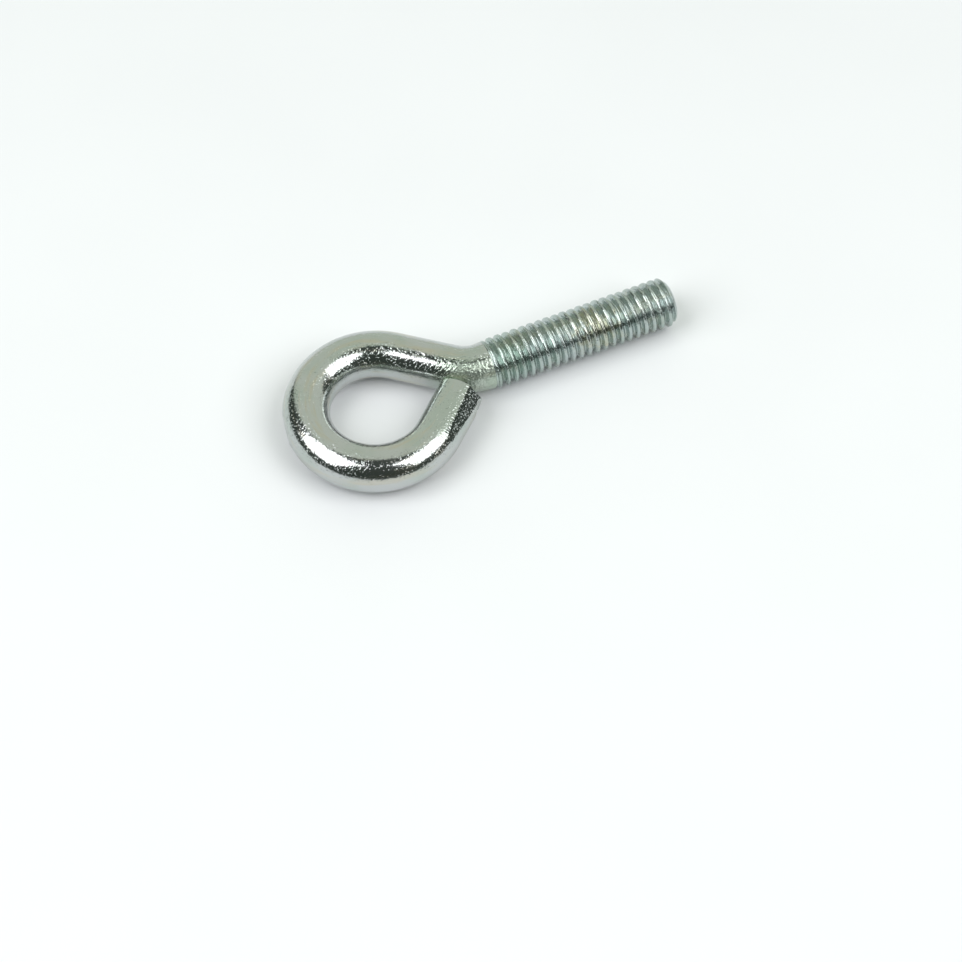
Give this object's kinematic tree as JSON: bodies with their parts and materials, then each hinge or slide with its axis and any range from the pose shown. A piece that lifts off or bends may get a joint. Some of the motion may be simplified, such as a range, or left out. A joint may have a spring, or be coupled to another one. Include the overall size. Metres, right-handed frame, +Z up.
{
  "type": "eye bolt",
  "caption": "Small eye bolt bent from round steel wire: an unwelded round eye whose free end butts against an offset neck, and a straight shank with a coarse right-hand thread up to the neck.",
  "frame": {"origin": "centre of the round eye, on the mid-plane of the wire", "axes": "+X along the shank, from the eye to the threaded tip; +Z square to the plane of the eye, along the line on which a hook or pin passes through it; +Y completes the right-handed set, towards the side of the shank, whose axis lies 0.7 mm to +Y of the eye's centre. The bolt lies flat on its crests and eye, so +Z is up."},
  "size_m": [0.0466, 0.0206, 0.0058],
  "materials": {
    "zinc_plated_wire": "bright zinc plating over drawn wire, slightly grainy, with a faint yellow-green passivation tint",
    "zinc_plated_thread": "bright zinc plating on a rolled thread, crests rubbed brighter than the flanks"
  },
  "bodies": {
    "root": {"eye": "zinc_plated_wire", "threaded_shank": "zinc_plated_thread"}
  },
  "joints": []
}
